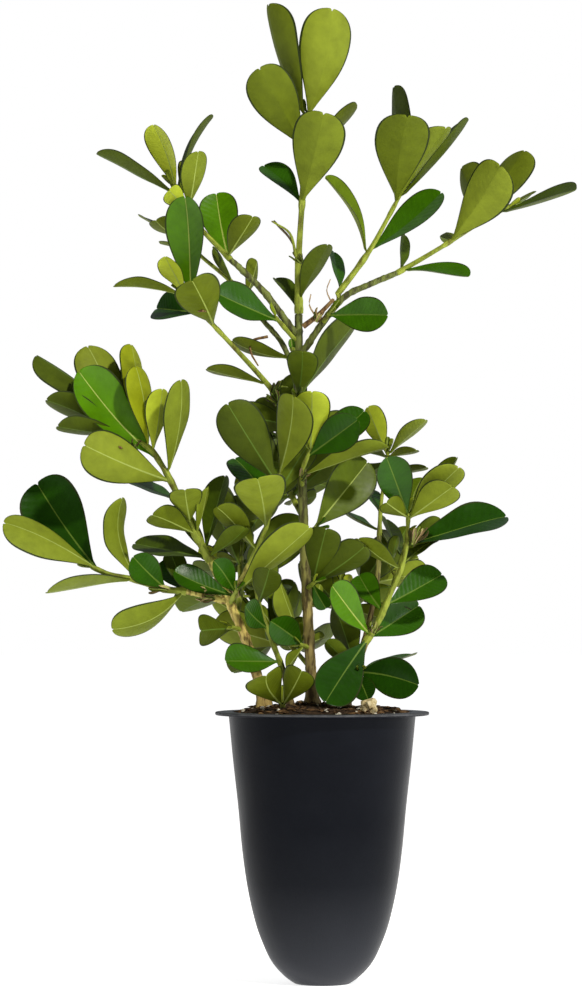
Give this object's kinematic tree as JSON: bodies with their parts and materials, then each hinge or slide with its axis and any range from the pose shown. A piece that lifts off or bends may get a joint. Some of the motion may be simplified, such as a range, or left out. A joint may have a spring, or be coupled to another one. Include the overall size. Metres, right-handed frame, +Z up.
{
  "type": "potted boxwood starter plant",
  "caption": "Young evergreen boxwood with upright leafy stems, rooted in potting mix in a tall round black nursery liner pot that stands on its flat underside.",
  "frame": {"origin": "centre of the pot's flat underside", "axes": "+Z up along the pot's axis, -Y the plant's front, +X to the right seen from the front"},
  "size_m": [0.1516, 0.0887, 0.2607],
  "materials": {
    "pot_plastic": "moulded satin black",
    "potting_mix": "loose bark and peat mix",
    "bark": "young bark, green above and tan below",
    "foliage": "waxy leaves"
  },
  "bodies": {
    "root": {"back_left_spray": "foliage", "back_low_spray": "foliage", "back_middle_spray": "foliage", "back_right_spray": "foliage", "back_upper_spray": "foliage", "centre_spray": "foliage", "far_left_spray": "foliage", "front_foot_tuft": "foliage", "front_stem": "bark", "inner_left_bough": "bark", "inner_left_spray": "foliage", "left_back_bough": "bark", "left_back_spray": "foliage", "left_fork_collar": "foliage", "left_fork_tuft": "foliage", "left_front_spray": "foliage", "left_low_bough": "bark", "left_low_tuft": "foliage", "left_stem": "bark", "left_stem_tuft": "foliage", "left_top_spray": "foliage", "main_stem": "bark", "mid_collar": "foliage", "middle_spray": "foliage", "pot": "pot_plastic", "potting_mix": "potting_mix", "right_back_bough": "bark", "right_back_spray": "foliage", "right_foot_tuft": "foliage", "right_fork_tuft": "foliage", "right_mid_tuft": "foliage", "right_side_spray": "foliage", "right_stem": "bark", "right_stem_spray": "foliage", "right_upper_tuft": "foliage", "top_spray": "foliage", "upper_collar": "foliage", "upper_left_bough": "bark", "upper_left_spray": "foliage", "upper_right_bough": "bark", "upper_right_spray": "foliage"}
  },
  "joints": []
}
